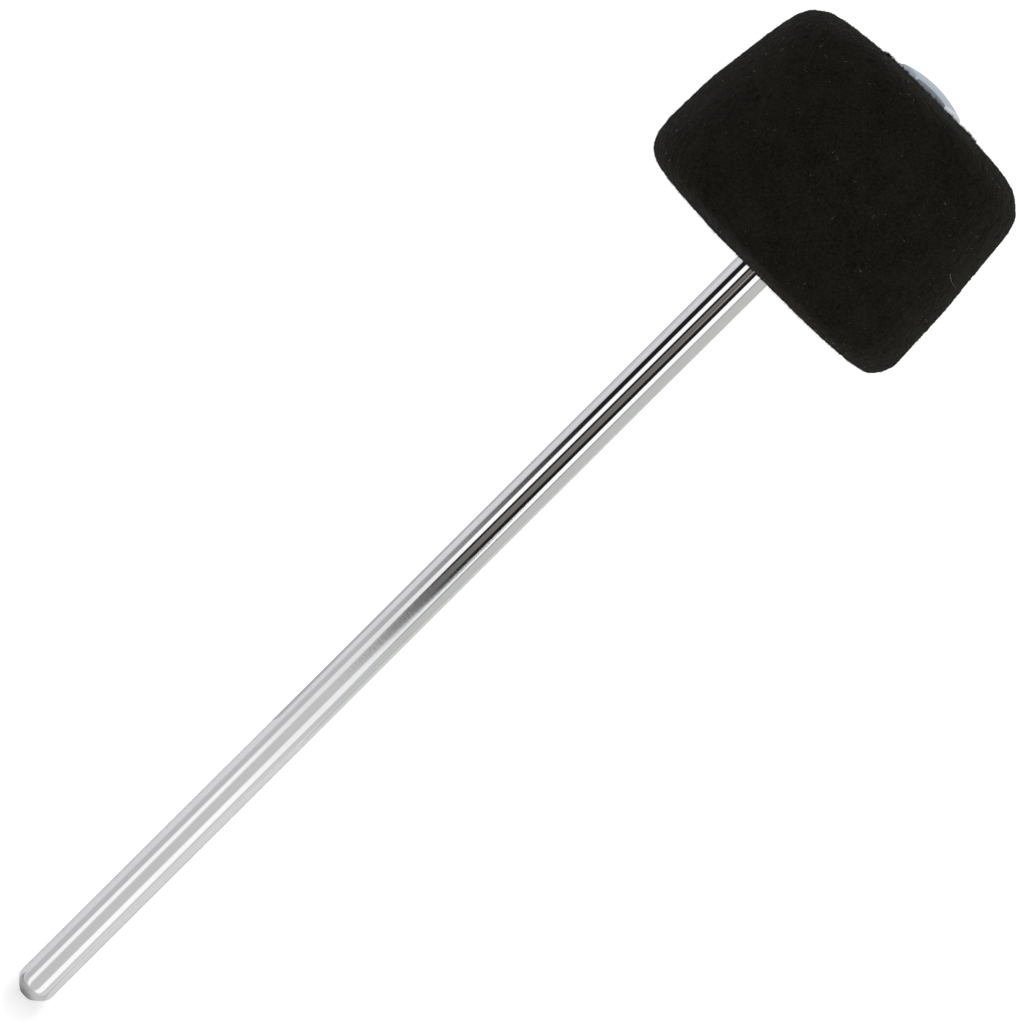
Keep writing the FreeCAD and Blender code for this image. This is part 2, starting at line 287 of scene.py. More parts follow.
tent_points = []
for step in range(TENT_STEPS + 1):
    angle = -TENT_REACH + 2 * TENT_REACH * step / TENT_STEPS
    tent_points += [around_rod(angle, TENT_RADIUS, x) for x in TENT_ENDS]
tent_faces = [(2 * i, 2 * i + 1, 2 * i + 3, 2 * i + 2) for i in range(TENT_STEPS)]
tent_mesh = bpy.data.meshes.new("light_tent")
tent_mesh.from_pydata(tent_points, [], tent_faces)
tent_mesh.shade_smooth()
tent = bpy.data.objects.new("light_tent", tent_mesh)
bpy.context.scene.collection.objects.link(tent)
show_in_metal_only(tent)
print("tent of", len(tent_faces), "panels")

# %% Tent cloth and what stands in the tent
CLOTH_SEAM = (0.6, 0.6, 0.6, 1.0)
CLOTH_TOP = (0.66, 0.66, 0.66, 1.0)
LEFT_CLOTH = (0.8, 0.79, 0.85, 1.0)
RIGHT_CLOTH = (0.8, 0.8, 0.78, 1.0)
GREY_CARD = (0.62, 0.63, 0.6, 1.0)
SOFTBOX_WHITE = (1.2, 1.2, 1.2, 1.0)
LEFT_WHITE = (1.14, 1.14, 1.14, 1.0)
LEFT_GAP = (0.93, 0.93, 0.93, 1.0)
RIGHT_GAP = (1.04, 1.04, 1.04, 1.0)
SCREEN_BLACK = (0.014, 0.014, 0.014, 1.0)
CAMERA_GREY = (0.19, 0.18, 0.17, 1.0)
FRAME_GREY = (0.05, 0.05, 0.05, 1.0)
BOOM_GREY = (0.24, 0.27, 0.29, 1.0)
LENS_DARK = (0.07, 0.066, 0.062, 1.0)
LENS_RING = (0.34, 0.32, 0.3, 1.0)
END_CLOTH = (0.76, 0.79, 0.85, 1.0)
ROOM_END = (0.55, 0.545, 0.545, 1.0)
FAR = 3.0

# Each panel: its light, its angles round the rod and their softness, its reach along the rod and its fade.
# A later panel lies over the earlier ones.
STUDIO = {
    "cloth_top": (CLOTH_TOP, (-27, 25), 10, (-FAR, FAR), 0.1),
    "left_cloth": (LEFT_CLOTH, (-140, -83), 12, (-FAR, FAR), 0.1),
    "right_cloth": (RIGHT_CLOTH, (68, 140), 10, (-FAR, -0.15), 0.05),
    "grey_card": (GREY_CARD, (71, 140), 5, (-0.185, 0.12), 0.06),
    "left_softbox": (LEFT_WHITE, (-48.5, -25), 12, (-FAR, FAR), 0.1),
    "left_gap": (LEFT_GAP, (-48.5, -25), 12, (-0.188, -0.12), 0.03),
    "left_long_softbox": (SOFTBOX_WHITE, (-46, -25), 8, (-0.115, FAR), 0.05),
    "tip_softbox": (SOFTBOX_WHITE, (29, 61), 12, (-FAR, -0.15), 0.03),
    "long_softbox": (SOFTBOX_WHITE, (26, 57), 4, (-0.15, FAR), 0.03),
    "right_gap": (RIGHT_GAP, (29, 57), 6, (-0.192, -0.12), 0.04),
    "long_frame": (FRAME_GREY, (58, 61), 2, (-0.15, FAR), 0.03),
    "head_softbox": (SOFTBOX_WHITE, (26, 62), 4, (-0.03, FAR), 0.08),
    "head_frame": (FRAME_GREY, (63, 66), 2, (-0.03, FAR), 0.08),
    "head_end": (END_CLOTH, (-140, 140), 5, (0.2, FAR), 0.14),
    "side_screen": (SCREEN_BLACK, (-77, -48.5), 4, (-0.112, 0.12), 0.1),
    "camera_stand": (SCREEN_BLACK, (-25, 33.5), 2, (-0.137, 0.14), 0.046),
    "camera_body": (CAMERA_GREY, (-14, 15), 5, (-0.138, 0.14), 0.06),
    "lens": (LENS_DARK, (0, 14), 4, (-0.03, 0.14), 0.08),
    "lens_ring": (LENS_RING, (5, 14), 4, (-0.03, 0.14), 0.08),
    "camera_boom": (BOOM_GREY, (-26, 34), 12, (0.04, FAR), 0.03),
    "room_end": (ROOM_END, (-140, 140), 5, (-FAR, -1.3), 0.8)}
# One panel has a ragged side: how far its teeth go in degrees, and where they lie along and round the rod.
RAGGED = {"camera_stand"}
RAGGED_BY = (-15.0, 2.0)
RAGGED_REACH = (-0.155, -0.098)
RAGGED_FADE = 0.03
TORN_FROM = 15.0
TORN_SOFTNESS = 10.0
TEETH_PER_METRE = 330.0
TEETH_RANGE = (0.4, 0.6)


def step_up(tree, value, middle, softness, low=0.0, high=1.0):
    """Goes softly from low to high where the value passes the middle."""
    return put(tree, "ShaderNodeMapRange",
               {0: value, 1: middle - softness / 2, 2: middle + softness / 2, 3: low, 4: high},
               interpolation_type="SMOOTHSTEP").outputs[0]


def inside(tree, value, limits, softness):
    """One between the two limits, and nothing outside them."""
    rise = step_up(tree, value, limits[0], softness)
    fall = step_up(tree, value, limits[1], softness, 1.0, 0.0)
    return maths(tree, "MULTIPLY", rise, fall)


cloth, tree = empty_material("tent_cloth")
place = object_place(tree)
side = maths(tree, "MULTIPLY", place["Y"], -1.0)
angle = maths(tree, "DEGREES", maths(tree, "ARCTAN2", side, place["Z"]))
teeth = put(tree, "ShaderNodeTexNoise",
            {"W": place["X"], "Scale": TEETH_PER_METRE, "Detail": 2.0, "Roughness": 0.6},
            noise_dimensions="1D").outputs[0]
bite = rescale(tree, teeth, *TEETH_RANGE, *RAGGED_BY)
torn_side = step_up(tree, angle, TORN_FROM, TORN_SOFTNESS)
torn_part = inside(tree, place["X"], RAGGED_REACH, RAGGED_FADE)
torn = maths(tree, "MULTIPLY", torn_side, torn_part)
ragged_angle = maths(tree, "MULTIPLY_ADD", bite, torn, angle)
light = CLOTH_SEAM
for name, (shine, angles, softness, reach, fade) in STUDIO.items():
    round_rod = inside(tree, ragged_angle if name in RAGGED else angle, angles, softness)
    along_rod = inside(tree, place["X"], reach, fade)
    here = maths(tree, "MULTIPLY", round_rod, along_rod)
    light = blend_colours(tree, here, light, shine)
glow = put(tree, "ShaderNodeEmission", {"Color": light, "Strength": 1.0})
put(tree, "ShaderNodeOutputMaterial", {"Surface": glow.outputs[0]})
tent_mesh.materials.append(cloth)
print("in the tent:", ", ".join(STUDIO))

# %% Cards on the table
# Lights of the cards: most are painted shade of the table, and one is a painted reflection of the lit table.
END_CARD = (0.54, 0.58, 0.62, 1.0)
HEAD_SHADE_CARD = (0.4, 0.44, 0.48, 1.0)
EDGE_SHADE_CARD = (0.53, 0.53, 0.54, 1.0)
TIP_SHADE_CARD = (0.39, 0.38, 0.38, 1.0)
TIP_LIT_TABLE_CARD = (0.62, 0.62, 0.61, 1.0)
TIP_SHADOW = (0.03, 0.03, 0.03, 1.0)
CARD_LIFT = 0.0005
SHADOW_LIFT = 0.0008
# Each card: where it lies along the rod and across it, how far above the table, and its light.
CARDS = {"side_card": ((-0.13, 0.02), (-0.45, -0.034), CARD_LIFT, GREY_CARD),
         # A bluish-grey sheet past the head that darkens the cap nut's reflection of the table.
         "end_card": ((0.058, 0.4), (-0.03, 0.036), CARD_LIFT, END_CARD),
         # Painted shade: a dark bluish sheet beside the head, for the table in the head's shadow, seen in the
         # cap nut's flats.
         "head_shade_card": ((0.02, 0.4), (0.036, 0.3), CARD_LIFT, HEAD_SHADE_CARD),
         # Painted shade: a grey sheet beside the rod, for the table in the shadow of the rod and the head,
         # seen in its left edge.
         "left_edge_shade_card": ((-0.129, 0.02), (0.005, 0.034), CARD_LIFT, EDGE_SHADE_CARD),
         # Painted shade: a darker sheet past the tip and to its left, for the table in the tip's shadow, seen
         # in the rod's nose.
         "tip_shade_card": ((-0.55, -0.2015), (-0.003, 0.05), CARD_LIFT, TIP_SHADE_CARD),
         # Painted reflection: a light sheet beside the tip, for the brightly lit table, seen in the right
         # side of the nose.
         "tip_lit_table_card": ((-0.55, -0.2), (-0.3, -0.003), CARD_LIFT, TIP_LIT_TABLE_CARD),
         "tip_shadow": ((-0.211, -0.1975), (-0.003, 0.0035), SHADOW_LIFT, TIP_SHADOW)}

for name, (along, across, above, shine) in CARDS.items():
    corners = [(along[i] - middle, across[j], above) for i, j in ((0, 0), (1, 0), (1, 1), (0, 1))]
    card_mesh = bpy.data.meshes.new(name)
    card_mesh.from_pydata(corners, [], [(0, 1, 2, 3)])
    card = bpy.data.objects.new(name, card_mesh)
    card.matrix_world = table.matrix_world.copy()
    bpy.context.scene.collection.objects.link(card)
    show_in_metal_only(card)
    card_finish, tree = empty_material(name)
    glow = put(tree, "ShaderNodeEmission", {"Color": shine, "Strength": 1.0})
    put(tree, "ShaderNodeOutputMaterial", {"Surface": glow.outputs[0]})
    card_mesh.materials.append(card_finish)
print("cards:", ", ".join(CARDS))

# %% [markdown]
# ## Shared effects
# Three effects come back in several finishes, so each is a node group with its own inputs.
# Polishing leaves fine lines round a turned piece.
# Hands and tools leave smears and specks, and wool is never even.
# A group gives out masks and heights, and each finish decides what to do with them.

# %% Group: polishing lines
STREAK_SCALE = 0.13
STREAK_RANGE = (0.35, 0.65)


def new_group(name, inputs, outputs):
    """A shader node group with named number inputs and outputs."""
    group = bpy.data.node_groups.new(name, "ShaderNodeTree")
    for title, value in inputs.items():
        socket = group.interface.new_socket(name=title, in_out="INPUT", socket_type="NodeSocketFloat")
        socket.default_value = value
    for title in outputs:
        group.interface.new_socket(name=title, in_out="OUTPUT", socket_type="NodeSocketFloat")
    return group, group.nodes.new("NodeGroupInput").outputs, group.nodes.new("NodeGroupOutput").inputs


def use_group(tree, group, **values):
    """Put a group into a tree with these inputs, and give back its outputs."""
    node = tree.nodes.new("ShaderNodeGroup")
    node.node_tree = group
    for title, value in values.items():
        node.inputs[title.replace("_", " ")].default_value = value
    return node.outputs


polish_lines, given, result = new_group(
    "polish_lines", {"Lines per metre": 4000.0, "Breaks per metre": 120.0}, ["Height", "Streak"])
place = object_point(polish_lines)
lines, breaks = given["Lines per metre"], given["Breaks per metre"]
stretch = put(polish_lines, "ShaderNodeCombineXYZ", {0: lines, 1: breaks, 2: breaks}).outputs[0]
drawn = put(polish_lines, "ShaderNodeVectorMath", {0: place, 1: stretch}, operation="MULTIPLY").outputs[0]
fine = put(polish_lines, "ShaderNodeTexNoise",
           {"Vector": drawn, "Scale": 1.0, "Detail": 1.0, "Roughness": 0.5})
broad = put(polish_lines, "ShaderNodeTexNoise",
            {"Vector": drawn, "Scale": STREAK_SCALE, "Detail": 2.0, "Roughness": 0.5})
streak = rescale(polish_lines, broad.outputs[0], *STREAK_RANGE)
polish_lines.links.new(fine.outputs[0], result["Height"])
polish_lines.links.new(streak, result["Streak"])
print("group polish_lines made")

# %% Group: handling marks
SMEAR_RANGE = (0.48, 0.72)
SPECKLESS_SHARE = 0.985

handling_marks, given, result = new_group(
    "handling_marks", {"Smears per metre": 60.0, "Specks per metre": 700.0, "Speck size": 0.12},
    ["Smear", "Speck"])
place = object_point(handling_marks)
cloud = put(handling_marks, "ShaderNodeTexNoise",
            {"Vector": place, "Scale": given["Smears per metre"], "Detail": 5.0, "Roughness": 0.6,
             "Distortion": 0.6})
smear = rescale(handling_marks, cloud.outputs[0], *SMEAR_RANGE)
dots = put(handling_marks, "ShaderNodeTexVoronoi", {"Vector": place, "Scale": given["Specks per metre"]})
chance = put(handling_marks, "ShaderNodeSeparateColor", {0: dots.outputs["Color"]}).outputs[0]
few = maths(handling_marks, "GREATER_THAN", chance, SPECKLESS_SHARE)
near = maths(handling_marks, "LESS_THAN", dots.outputs["Distance"], given["Speck size"])
speck = maths(handling_marks, "MULTIPLY", few, near)
handling_marks.links.new(smear, result["Smear"])
handling_marks.links.new(speck, result["Speck"])
print("group handling_marks made")

# %% Group: uneven wool
TUFT_RANGE = (0.35, 0.68)
FIBRE_RANGE = (0.4, 0.75)

uneven_wool, given, result = new_group(
    "uneven_wool", {"Tufts per metre": 220.0, "Fibres per metre": 2600.0}, ["Tuft", "Fibre", "Height"])
place = object_point(uneven_wool)
tufts = put(uneven_wool, "ShaderNodeTexNoise",
            {"Vector": place, "Scale": given["Tufts per metre"], "Detail": 4.0, "Roughness": 0.6})
fibres = put(uneven_wool, "ShaderNodeTexNoise",
             {"Vector": place, "Scale": given["Fibres per metre"], "Detail": 3.0, "Roughness": 0.65,
              "Distortion": 1.2})
tuft = rescale(uneven_wool, tufts.outputs[0], *TUFT_RANGE)
fibre = rescale(uneven_wool, fibres.outputs[0], *FIBRE_RANGE)
height = maths(uneven_wool, "ADD", fibres.outputs[0], tufts.outputs[0])
uneven_wool.links.new(tuft, result["Tuft"])
uneven_wool.links.new(fibre, result["Fibre"])
uneven_wool.links.new(height, result["Height"])
print("group uneven_wool made")

# %% [markdown]
# ## Metal finishes
# The rod and the cap nut are chrome plated, and the hidden nuts and washers are zinc plated steel.
# Chrome could be a perfect mirror, but a real plated rod still carries the lines of the grinding wheel.
# They run round the rod in short pieces, so they smear a reflection along the rod and make it grainy.
# The rod's nose was turned and not ground, so it is matt.
# Zinc is duller and greyer, with a cloudy look and stronger tool marks.

# %% Metal finish maker
TURNED_TIP = (-197.5 * MM, -195.6 * MM)
TIP_ROUGHNESS = 0.42
SMEAR_SHARE = 0.5
STREAK_SHARE = 0.12
SPECK_SHARE = 0.6
SPECK_GREY = (0.2, 0.2, 0.2, 1.0)
SMEAR_ROUGHER = 1.5


def plated_metal(name, pale, dull, roughness, lines, breaks, line_depth, smears, turned_tip=False):
    """A plated metal: smears and streaks change its colour and gloss, and fine lines bend its reflections."""
    finish, tree = empty_material(name)
    polish = use_group(tree, polish_lines, Lines_per_metre=lines, Breaks_per_metre=breaks)
    marks = use_group(tree, handling_marks, Smears_per_metre=smears)
    clouded = blend_colours(tree, share_of(tree, marks["Smear"], SMEAR_SHARE), pale, dull)
    tinted = blend_colours(tree, share_of(tree, polish["Streak"], STREAK_SHARE), clouded, dull)
    pitted = blend_colours(tree, share_of(tree, marks["Speck"], SPECK_SHARE), tinted, SPECK_GREY)
    rough = rescale(tree, marks["Smear"], 0.0, 1.0, roughness, roughness * SMEAR_ROUGHER)
    if turned_tip:
        matt = rescale(tree, object_place(tree)["X"], *TURNED_TIP, TIP_ROUGHNESS, 0.0)
        rough = maths(tree, "MAXIMUM", rough, matt)
    bump = put(tree, "ShaderNodeBump",
               {"Height": polish["Height"], "Strength": 1.0, "Distance": line_depth})
    metal = put(tree, "ShaderNodeBsdfPrincipled",
                {"Base Color": pitted, "Metallic": 1.0, "Roughness": rough, "Normal": bump.outputs[0]})
    put(tree, "ShaderNodeOutputMaterial", {"Surface": metal.outputs[0]})
    print(name, "made")
    return finish


rod_chrome = plated_metal("rod_chrome", (0.8, 0.8, 0.81, 1.0), (0.74, 0.74, 0.75, 1.0), roughness=0.045,
                          lines=3400.0, breaks=1100.0, line_depth=3.5e-6, smears=45.0, turned_tip=True)
nut_chrome = plated_metal("nut_chrome", (0.73, 0.77, 0.81, 1.0), (0.66, 0.69, 0.73, 1.0), roughness=0.14,
                          lines=2600.0, breaks=900.0, line_depth=1.5e-6, smears=160.0)
zinc_plate = plated_metal("zinc_plate", (0.62, 0.63, 0.65, 1.0), (0.5, 0.5, 0.5, 1.0), roughness=0.27,
                          lines=1500.0, breaks=1500.0, line_depth=6e-6, smears=220.0)

# %% [markdown]
# ## Turning a piece
# Rod and felt are round, and a lathe is the natural way to make them: draw half the outline and turn it.
# Blender has a Screw modifier for that, but we also want to shape the turned surface afterwards.
# So the helpers below make the rings themselves. A radius of zero closes an end in a single point.
# An outline that is given by a few knots gets a smooth curve through them.

# %% Lathe helper
def ring_points(x, radii, sides):
    """Points of one ring round the X axis, starting from straight up."""
    angles = np.arange(sides) * (2 * math.pi / sides)
    spread = np.broadcast_to(radii, sides)
    return np.column_stack([np.full(sides, x), spread * np.sin(angles), spread * np.cos(angles)])


def joined_rings(rings, loop=False):
    """Vertices and faces of a skin over a row of rings, where a ring of one point is a pole."""
    starts = np.cumsum([0] + [len(ring) for ring in rings])
    faces = []
    pairs = list(zip(range(len(rings)), range(1, len(rings))))
    if loop:
        pairs.append((len(rings) - 1, 0))
    for first, second in pairs:
        a, b = starts[first], starts[second]
        count_a, count_b = len(rings[first]), len(rings[second])
        sides = max(count_a, count_b)
        for i in range(sides):
            j = (i + 1) % sides
            if count_a == 1:
                faces.append((a, b + j, b + i))
            elif count_b == 1:
                faces.append((a + i, a + j, b))
            else:
                faces.append((a + i, a + j, b + j, b + i))
    return np.vstack(rings), faces


def new_piece(name, points, faces, finish, sharp=None):
    """A smooth shaded mesh object with one finish, with edges over the given angle kept sharp."""
    mesh = bpy.data.meshes.new(name)
    mesh.from_pydata([tuple(p) for p in points], [], [tuple(int(i) for i in f) for f in faces])
    mesh.validate()
    mesh.shade_smooth()
    if sharp is not None:
        mesh.set_sharp_from_angle(angle=math.radians(sharp))
    mesh.materials.append(finish)
    piece = bpy.data.objects.new(name, mesh)
    bpy.context.scene.collection.objects.link(piece)
    print(name, len(mesh.vertices), "points,", len(mesh.polygons), "faces")
    return piece


def turned_rings(outline, sides):
    """Rings in metres from (x, radius) points in millimetres."""
    rings = []
    for x, radius in outline:
        if radius == 0:
            rings.append(np.array([[x * MM, 0.0, 0.0]]))
        else:
            rings.append(ring_points(x * MM, radius * MM, sides))
    return rings


def smooth_curve(knots, per_span):
    """Points along a curve that runs smoothly through the knots."""
    held = [knots[0]] + list(knots) + [knots[-1]]
    found = []
    for i in range(1, len(held) - 2):
        p0, p1, p2, p3 = (np.array(held[i + k], float) for k in (-1, 0, 1, 2))
        for t in np.arange(per_span) / per_span:
            found.append(0.5 * (2 * p1 + (p2 - p0) * t + (2 * p0 - 5 * p1 + 4 * p2 - p3) * t ** 2
                                + (3 * p1 - p0 - 3 * p2 + p3) * t ** 3))
    return [tuple(p) for p in found] + [tuple(knots[-1])]


print("lathe ready")

# %% [markdown]
# ## The rod
# The rod is 8 mm steel bar with a rounded end, and its other end is turned down for the thread.
# The model's own rod has 21 sides, which is enough for a pedal to clamp but too few for a mirror.
# So we turn a finer one of the same size, with a fuller curve on the tip.

# %% Chromed rod
ROD_SIDES = 144
TIP_X = -199.0
TIP_RING = 0.35
CORE = 3.325
THREAD_END_X = 46.2
THREAD_START_X = 1.5
THREAD_CHAMFER = 0.8
CORE_ROW_GAP = 0.1
ROD_ROWS = 60
ROD_ROW_GAP = 0.5
LAST_ROW_X = -0.4
NOSE_STEPS = 4
ROD_SHARP = 15
# Half outline of the rounded tip: distance from its end and radius.
NOSE_KNOTS = [(0.0, 0.8), (0.03, 1.1), (0.16, 1.42), (0.44, 1.84), (0.79, 2.27), (1.18, 2.74), (1.58, 3.13),
              (1.98, 3.46), (2.38, 3.72), (2.78, 3.88), (3.15, 3.965), (3.55, 3.995), (4.0, 4.0)]

nose = smooth_curve(NOSE_KNOTS, NOSE_STEPS)
first_row_x = TIP_X + nose[-1][0] + ROD_ROW_GAP
rod_outline = [(TIP_X, 0), (TIP_X, TIP_RING)] + [(TIP_X + reach, radius) for reach, radius in nose]
rod_outline += [(x, ROD) for x in np.linspace(first_row_x, LAST_ROW_X, ROD_ROWS)]
rod_outline += [(0.0, ROD), (THREAD_START_X, CORE), (THREAD_START_X + CORE_ROW_GAP, CORE)]
rod_outline += [(THREAD_END_X - THREAD_CHAMFER, CORE), (THREAD_END_X, CORE - THREAD_CHAMFER)]
rod_outline.append((THREAD_END_X, 0))
points, faces = joined_rings(turned_rings(rod_outline, ROD_SIDES))
rod = new_piece("chromed_rod", points, faces, rod_chrome, sharp=ROD_SHARP)
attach(rod, "beater")
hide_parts("shaft")

# %% [markdown]
# ## The thread
# An M8 thread rises 1.25 mm in each turn.
# In the solids it is a plain core, because a modelled thread is costly.
# Here it is one ridge, swept along a helix.
# Its section is the thread's own: steep flanks and a narrow flat crest.
# The ridge sinks into the core at both ends, as the cutting die leaves it.

# %% Thread ridge
PITCH = 1.25
CREST_FLAT = PITCH / 8
RIDGE_FOOT = 0.935
THREAD_FROM = 5.6
THREAD_TO = 45.7
STEPS_PER_TURN = 40
RUN_OUT_TURNS = 0.6
CREST_CLEAR = 0.02
LEAST_RIDGE = 0.02
FOOT_SINK = 0.08
RIDGE_SHARP = 25

turns = (THREAD_TO - THREAD_FROM) / PITCH
steps = int(turns * STEPS_PER_TURN)
ridge = []
for step in range(steps + 1):
    turn_count = step / STEPS_PER_TURN
    fade = min(1.0, turn_count / RUN_OUT_TURNS, (turns - turn_count) / RUN_OUT_TURNS)
    crest = CORE - CREST_CLEAR + (ROD - CREST_CLEAR - CORE) * max(fade, LEAST_RIDGE)
    angle = 2 * math.pi * turn_count
    x = THREAD_FROM + PITCH * turn_count
    section = [(-RIDGE_FOOT / 2, CORE - FOOT_SINK), (-CREST_FLAT / 2, crest), (CREST_FLAT / 2, crest),
               (RIDGE_FOOT / 2, CORE - FOOT_SINK)]
    ridge += [((x + dx) * MM, -r * math.sin(angle) * MM, r * math.cos(angle) * MM) for dx, r in section]
faces = [(0, 1, 2, 3), tuple(4 * steps + i for i in (3, 2, 1, 0))]
for step in range(steps):
    here = 4 * step
    faces += [(here + i, here + 4 + i, here + 4 + (i + 1) % 4, here + (i + 1) % 4) for i in range(4)]
thread = new_piece("rod_thread", ridge, faces, zinc_plate, sharp=RIDGE_SHARP)
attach(thread, "beater")

# %% [markdown]
# ## The felt head
# The head is one block of hard pressed wool, turned and sanded to a slightly tapered drum.
# A real one is never quite true: its sides wander by a tenth of a millimetre.
# Its shoulders are trimmed by hand, and one side is fuller than the other.
# We turn a smooth outline with both recesses and the bore, and shift it between the two sides.
# Then we push the outer skin in and out with two noises.

# %% Felt skin
FELT_SIDES = 400
ROW_MM = 0.45
BORE = 4.15
RECESS = 9.78
LOW_FLOOR = 9.7
TOP_FLOOR = 35.9
SIDE_STEPS = 12
BORE_ROWS = 8
FLOOR_ROW = 0.2
FLOOR_RADII = (5.0, 7.0, 9.0)
LOW_ROWS = (6.0, 3.0, 1.6)
TOP_ROWS = (46.3, 43.0, 39.0)
# Lips of the two recesses: distance along the rod, and how far outside the recess.
LOW_LIP = ((0.85, 0.03), (0.45, 0.2), (0.18, 0.5))
TOP_LIP = ((47.5, 0.5), (47.24, 0.2), (46.85, 0.03))
# Trimmed outline: distance along the rod and radius on the fuller side, then both on the rounder side.
OUTER_KNOTS = [
    (0.08, 10.7, 0.1, 10.7), (0.17, 14.0, 0.34, 14.0), (0.29, 18.0, 0.62, 18.0),
    (0.5, 22.0, 0.92, 21.8), (0.74, 24.8, 1.18, 24.6), (1.1, 27.0, 1.75, 27.4),
    (1.85, 29.45, 2.7, 29.35), (3.66, 31.0, 4.0, 30.55), (5.6, 31.85, 5.8, 31.35),
    (7.5, 32.05, 7.6, 31.7), (9.5, 31.95, 9.5, 31.85), (11.4, 31.8, 11.4, 31.86),
    (15.2, 31.62, 15.2, 31.76), (21.0, 31.3, 21.0, 31.52), (26.7, 30.68, 26.7, 30.88),
    (32.5, 30.1, 32.5, 30.15), (36.3, 29.75, 36.3, 29.65), (39.2, 29.42, 39.2, 29.08),
    (41.1, 28.98, 41.1, 28.52), (42.5, 28.4, 42.5, 27.85), (44.0, 27.1, 44.0, 26.5),
    (45.1, 25.8, 45.1, 24.95), (46.0, 24.3, 45.85, 23.1), (46.7, 22.0, 46.48, 19.9),
    (47.1, 19.2, 46.88, 16.5), (47.4, 15.0, 47.22, 13.2), (47.6, 10.7, 47.55, 10.7)]

full_side = np.array(smooth_curve([knot[:2] for knot in OUTER_KNOTS], SIDE_STEPS))
round_side = np.array(smooth_curve([knot[2:] for knot in OUTER_KNOTS], SIDE_STEPS))
mean_side = (full_side + round_side) / 2
half_gap = (full_side - round_side) / 2
steps = np.linalg.norm(np.diff(mean_side, axis=0), axis=1)
travelled = np.concatenate([[0.0], np.cumsum(steps)])
stations = np.linspace(0, travelled[-1], int(travelled[-1] / ROW_MM) + 1)
outer = [tuple(np.interp(s, travelled, mean_side[:, k]) for k in (0, 1)) for s in stations]
uneven_trim = [tuple(np.interp(s, travelled, half_gap[:, k]) for k in (0, 1)) for s in stations]
low_wall = [(x, RECESS) for x in (LOW_FLOOR, LOW_FLOOR - FLOOR_ROW, *LOW_ROWS)]
low_lip = [(x, RECESS + out) for x, out in LOW_LIP]
top_lip = [(x, RECESS + out) for x, out in TOP_LIP]
top_wall = [(x, RECESS) for x in (*TOP_ROWS, TOP_FLOOR + FLOOR_ROW, TOP_FLOOR)]
top_step = [(TOP_FLOOR, r) for r in reversed(FLOOR_RADII)]
bore_wall = [(x, BORE) for x in np.linspace(TOP_FLOOR, LOW_FLOOR, BORE_ROWS)]
low_step = [(LOW_FLOOR, r) for r in FLOOR_RADII]
felt_outline = low_wall + low_lip + outer + top_lip + top_wall + top_step + bore_wall + low_step
first_outer = len(low_wall) + len(low_lip)
last_outer = first_outer + len(outer)
felt_points, felt_faces = joined_rings(turned_rings(felt_outline, FELT_SIDES), loop=True)
print("felt outline of", len(felt_outline), "points")

# %% Hand trimmed surface
WANDER_MM = 0.13
LUMP_MM = 0.2
WANDER_SCALE = 70.0
LUMP_SCALE = 1050.0
FULLER_SIDE_MM = 0.17
FULLER_FACE_MM = 0.045
ALONG_ROD = np.array([1.0, 0, 0])
ACROSS_ROD = np.array([0, 1, 1])

shape = np.array(felt_outline)
along = np.roll(shape, -1, axis=0) - np.roll(shape, 1, axis=0)
outward = np.column_stack([-along[:, 1], along[:, 0]])
outward /= np.linalg.norm(outward, axis=1)[:, None]
if outward[first_outer + len(outer) // 2][1] < 0:
    outward = -outward
skin_normals = np.zeros_like(felt_points)
for i in range(len(felt_outline)):
    rows = slice(i * FELT_SIDES, (i + 1) * FELT_SIDES)
    radial = felt_points[rows] * ACROSS_ROD
    radial = radial / np.linalg.norm(radial, axis=1)[:, None]
    skin_normals[rows] = outward[i][1] * radial + outward[i][0] * ALONG_ROD
for i in range(first_outer, last_outer):
    shift_x, shift_radius = uneven_trim[i - first_outer]
    for j in range(i * FELT_SIDES, (i + 1) * FELT_SIDES):
        radial = felt_points[j] * ACROSS_ROD
        radial /= np.linalg.norm(radial)
        felt_points[j] -= (shift_radius * radial + shift_x * ALONG_ROD) * radial[1] * MM
        spot = Vector(felt_points[j])
        push = WANDER_MM * noise.noise(spot * WANDER_SCALE) + LUMP_MM * noise.noise(spot * LUMP_SCALE)
        push += FULLER_FACE_MM + FULLER_SIDE_MM * max(outward[i][1], 0.0)
        felt_points[j] += skin_normals[j] * push * MM
print("skin pushed by up to", WANDER_MM + LUMP_MM, "mm")

# %% [markdown]
# ## Black wool
# Dyed wool felt drinks light: it is about as dark as soot, and its fibres shine faintly side on.
# A plain black would look like plastic, so the colour wanders in tufts and fibres.
# The gloss is nearly switched off, and a little sheen lifts the edges as the nap does.
# The rim of the underside is a little brown.

# %% Wool finishes
SOOT = (0.0024, 0.0024, 0.0016, 1.0)
ASH = (0.0068, 0.0067, 0.005, 1.0)
BROWN_BLACK = (0.022, 0.02, 0.0148, 1.0)
RIM_BROWN = (0.009, 0.003, 0.002, 1.0)
RIM_BROWN_FROM = (0.0006, 0.0026)
RIM_BROWN_RADIUS = (0.023, 0.028)
RIM_BROWN_SHARE = 0.95
FIBRE_SHARE = 0.8
SHEEN_TINT = (0.92, 0.9, 0.82, 1.0)


